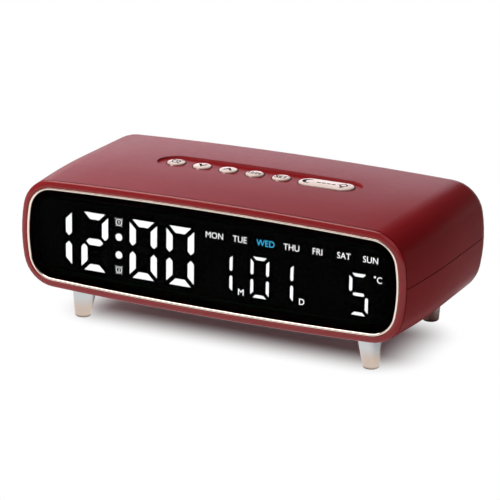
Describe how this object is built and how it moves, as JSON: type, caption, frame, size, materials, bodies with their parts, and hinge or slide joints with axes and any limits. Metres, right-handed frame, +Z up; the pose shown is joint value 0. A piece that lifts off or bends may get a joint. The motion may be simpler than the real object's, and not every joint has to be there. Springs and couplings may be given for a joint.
{
  "type": "digital alarm clock",
  "caption": "Barrel-shaped digital alarm clock on cone feet, with a wide dark display for time, date and temperature, and push buttons in a recess of the top.",
  "frame": {"origin": "on the table below the middle of the clock", "axes": "+Z up, the display faces -Y, +X to the right of someone who looks at the display"},
  "size_m": [0.2068, 0.107, 0.0757],
  "materials": {
    "case_red": "satin lacquer, dark red",
    "frame_red": "semi-gloss dark red",
    "trim_metal": "polished champagne plating",
    "smoked_lens": "dark smoked, glossy",
    "black_film": "printed film",
    "black_housing": "moulded, black",
    "lit_diffuser": "white, lit from behind",
    "dark_diffuser": "grey, not lit",
    "lamp_body": "lamp bodies",
    "board_green": "green circuit board",
    "black_plastic": "black moulded",
    "header_plastic": "ivory moulded",
    "screw_steel": "zinc plated",
    "cable_grey": "grey flat cable",
    "lead_black": "black leads",
    "foot_metal": "satin",
    "pad_rubber": "matt",
    "socket_steel": "plain",
    "cell_steel": "plain",
    "contact_brass": "plain",
    "button_cream": "champagne lacquer",
    "plunger_plastic": "moulded"
  },
  "bodies": {
    "base": {"upper_shell": "case_red", "lower_shell": "case_red", "front_frame": "frame_red", "bezel_trim": "trim_metal", "display_lens": "smoked_lens", "legend_film": "black_film", "lamp_housing": "black_housing", "lit_time_segments": "lit_diffuser", "dark_time_segments": "dark_diffuser", "lit_date_segments": "lit_diffuser", "dark_date_segments": "dark_diffuser", "colon_dots": "lit_diffuser", "display_lamps": "lamp_body", "display_board": "board_green", "driver_chip": "black_plastic", "board_connectors": "header_plastic", "display_screws": "screw_steel", "key_board": "board_green", "key_screws": "screw_steel", "key_switches": "black_plastic", "key_ribbon": "cable_grey", "lead_strips": "lead_black", "feet": "foot_metal", "foot_pads": "pad_rubber", "foot_screws": "screw_steel", "case_screws": "screw_steel", "power_socket": "socket_steel", "socket_tongue": "black_plastic", "socket_board": "board_green", "socket_screws": "screw_steel", "buzzer": "black_plastic", "temperature_sensor": "black_plastic", "backup_cell": "cell_steel", "cell_contacts": "contact_brass"},
    "alarm": {"alarm_button": "button_cream", "alarm_plunger": "plunger_plastic"},
    "down": {"down_button": "button_cream", "down_plunger": "plunger_plastic"},
    "up": {"up_button": "button_cream", "up_plunger": "plunger_plastic"},
    "mode": {"mode_button": "button_cream", "mode_plunger": "plunger_plastic"},
    "set": {"set_button": "button_cream", "set_plunger": "plunger_plastic"},
    "snooze": {"snooze_button": "button_cream", "snooze_plunger": "plunger_plastic"},
    "door": {"cell_door": "case_red", "door_screws": "screw_steel"}
  },
  "joints": [
    {"name": "alarm_press", "type": "slide", "parent": "base", "child": "alarm", "axis": [0, 0, -1], "range_m": [0, 0.0006], "stiffness_N_per_m": 1500},
    {"name": "down_press", "type": "slide", "parent": "base", "child": "down", "axis": [0, 0, -1], "range_m": [0, 0.0006], "stiffness_N_per_m": 1500},
    {"name": "up_press", "type": "slide", "parent": "base", "child": "up", "axis": [0, 0, -1], "range_m": [0, 0.0006], "stiffness_N_per_m": 1500},
    {"name": "mode_press", "type": "slide", "parent": "base", "child": "mode", "axis": [0, 0, -1], "range_m": [0, 0.0006], "stiffness_N_per_m": 1500},
    {"name": "set_press", "type": "slide", "parent": "base", "child": "set", "axis": [0, 0, -1], "range_m": [0, 0.0006], "stiffness_N_per_m": 1500},
    {"name": "snooze_press", "type": "slide", "parent": "base", "child": "snooze", "axis": [0, 0, -1], "range_m": [0, 0.0006], "stiffness_N_per_m": 1500},
    {"name": "door_lift_off", "type": "slide", "parent": "base", "child": "door", "axis": [0, 0, -1], "range_m": [0, 0.012]}
  ]
}
